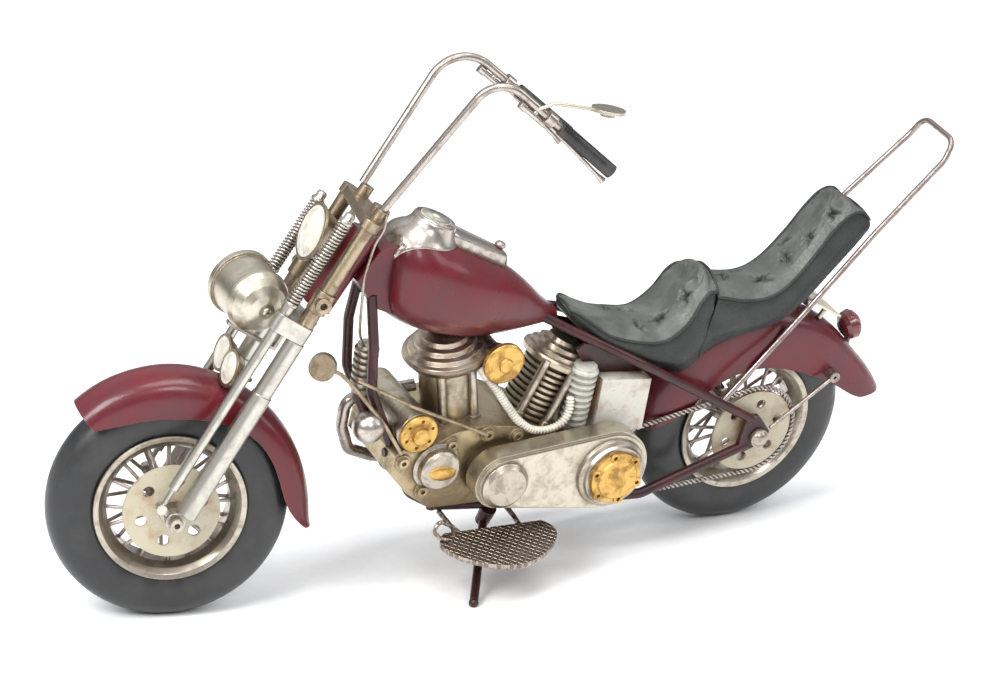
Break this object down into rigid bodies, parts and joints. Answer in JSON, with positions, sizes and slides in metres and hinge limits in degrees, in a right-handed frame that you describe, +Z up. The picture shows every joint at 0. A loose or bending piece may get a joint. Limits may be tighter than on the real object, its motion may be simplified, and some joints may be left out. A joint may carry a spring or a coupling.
{
  "type": "toy motorcycle",
  "caption": "Tin display motorcycle, a chopper with a springer fork, high bars, twin engine, two spoked wheels and a side stand; steering, wheels, headlight and stand move.",
  "frame": {"origin": "centre of the bounding box in plan, on the ground that both tyres and the side stand's foot touch", "axes": "+X points to the rear wheel's end, along the machine; +Y points to the rider's right, so the side stand is on the -Y side; +Z up. The machine stands as parked: leaned 10 degrees to its left and steered 17 degrees to its left."},
  "size_m": [0.3994, 0.1126, 0.2317],
  "materials": {
    "maroon_paint": "semi-gloss dark maroon paint, worn and speckled with rust",
    "seat_leather": "black grained imitation leather with greyish worn tops",
    "tyre_rubber": "satin dark grey moulded rubber",
    "aged_nickel": "aged nickel plating with a beige patina",
    "bright_chrome": "bright plating, a little hazed",
    "bronze_case": "brownish beige cast metal with dark recesses",
    "gold_lacquer": "satin gold lacquer over pressed tin",
    "rocker_enamel": "beige enamel that reddens towards the tank",
    "barrel_bronze": "brownish bronze",
    "cream_enamel": "cream enamel, lightly worn",
    "lamp_glass": "frosted cream lens",
    "lamp_red": "dark red lens in a maroon body",
    "stone_enamel": "rust-speckled beige enamel",
    "plate_enamel": "plain beige enamel, no lettering",
    "spring_steel": "nickel-plated spring wire",
    "chain_wire": "darkened twisted wire",
    "grip_rubber": "dark moulded rubber with lighter worn edges",
    "wire_nickel": "dull nickel wire",
    "hose_beige": "light ribbed hose",
    "pink_enamel": "pale pinkish grey enamel"
  },
  "bodies": {
    "chassis": {"frame_spine": "maroon_paint", "cradle": "maroon_paint", "rear_stays": "maroon_paint", "rear_axle": "aged_nickel", "fuel_tank": "maroon_paint", "dash": "bright_chrome", "crankcase": "bronze_case", "case_covers": "bronze_case", "generator": "gold_lacquer", "timing_cover": "gold_lacquer", "primary_cover": "aged_nickel", "clutch_cover": "gold_lacquer", "oil_tank": "stone_enamel", "gearbox": "bronze_case", "cylinders": "barrel_bronze", "rocker_covers": "rocker_enamel", "pushrod_tubes": "aged_nickel", "air_cleaner": "gold_lacquer", "breather_hose": "hose_beige", "exhaust": "aged_nickel", "front_electrics": "bright_chrome", "rear_fender": "maroon_paint", "seat_front": "seat_leather", "seat_rear": "seat_leather", "sissy_bar": "pink_enamel", "fender_struts": "maroon_paint", "licence_plate": "plate_enamel", "tail_lamp": "lamp_red", "drive_chain": "chain_wire", "footboard": "aged_nickel", "foot_control": "aged_nickel", "stand_hinge": "maroon_paint", "control_cable": "wire_nickel"},
    "fork": {"fork_legs": "aged_nickel", "fork_rods": "bronze_case", "fork_springs": "spring_steel", "front_axle": "aged_nickel", "fork_clamps": "bronze_case", "steering_head": "bronze_case", "handlebar": "aged_nickel", "grips": "grip_rubber", "levers": "bright_chrome", "mirror": "cream_enamel", "headlight_bracket": "aged_nickel", "spot_lamp_shell": "bronze_case", "spot_lamp_glass": "lamp_glass", "signal_shells": "bronze_case", "signal_glasses": "lamp_glass", "front_fender": "maroon_paint"},
    "headlight": {"headlight": "cream_enamel"},
    "front_wheel": {"front_tyre": "tyre_rubber", "front_rim": "aged_nickel", "front_spokes": "wire_nickel", "front_hub": "aged_nickel"},
    "rear_wheel": {"rear_tyre": "tyre_rubber", "rear_rim": "aged_nickel", "rear_spokes": "wire_nickel", "rear_hub": "aged_nickel", "rear_sprocket": "chain_wire"},
    "kickstand": {"side_stand": "maroon_paint"}
  },
  "joints": [
    {"name": "steering", "type": "hinge", "parent": "chassis", "child": "fork", "pos_m": [-0.14331, 0.02173, 0.04978], "axis": [0.5088, -0.1496, 0.8478], "range_deg": [-12.9, 37.1], "deforming": ["control_cable"]},
    {"name": "front_wheel_spin", "type": "hinge", "parent": "fork", "child": "front_wheel", "pos_m": [-0.15105, 0.02376, 0.04999], "axis": [0.2534, 0.9672, 0.0186], "continuous": true},
    {"name": "rear_wheel_spin", "type": "hinge", "parent": "chassis", "child": "rear_wheel", "pos_m": [0.11809, 0.02173, 0.04938], "axis": [0.0003, 0.9848, 0.1736], "continuous": true},
    {"name": "headlight_swivel", "type": "hinge", "parent": "fork", "child": "headlight", "pos_m": [-0.11977, 0.01387, 0.13795], "axis": [0.5088, -0.1496, 0.8478], "range_deg": [-10, 75]},
    {"name": "kickstand_fold", "type": "hinge", "parent": "chassis", "child": "kickstand", "pos_m": [-0.00835, 0.014, 0.02435], "axis": [-0.0187, -0.5884, 0.8083], "range_deg": [0, 95]}
  ]
}
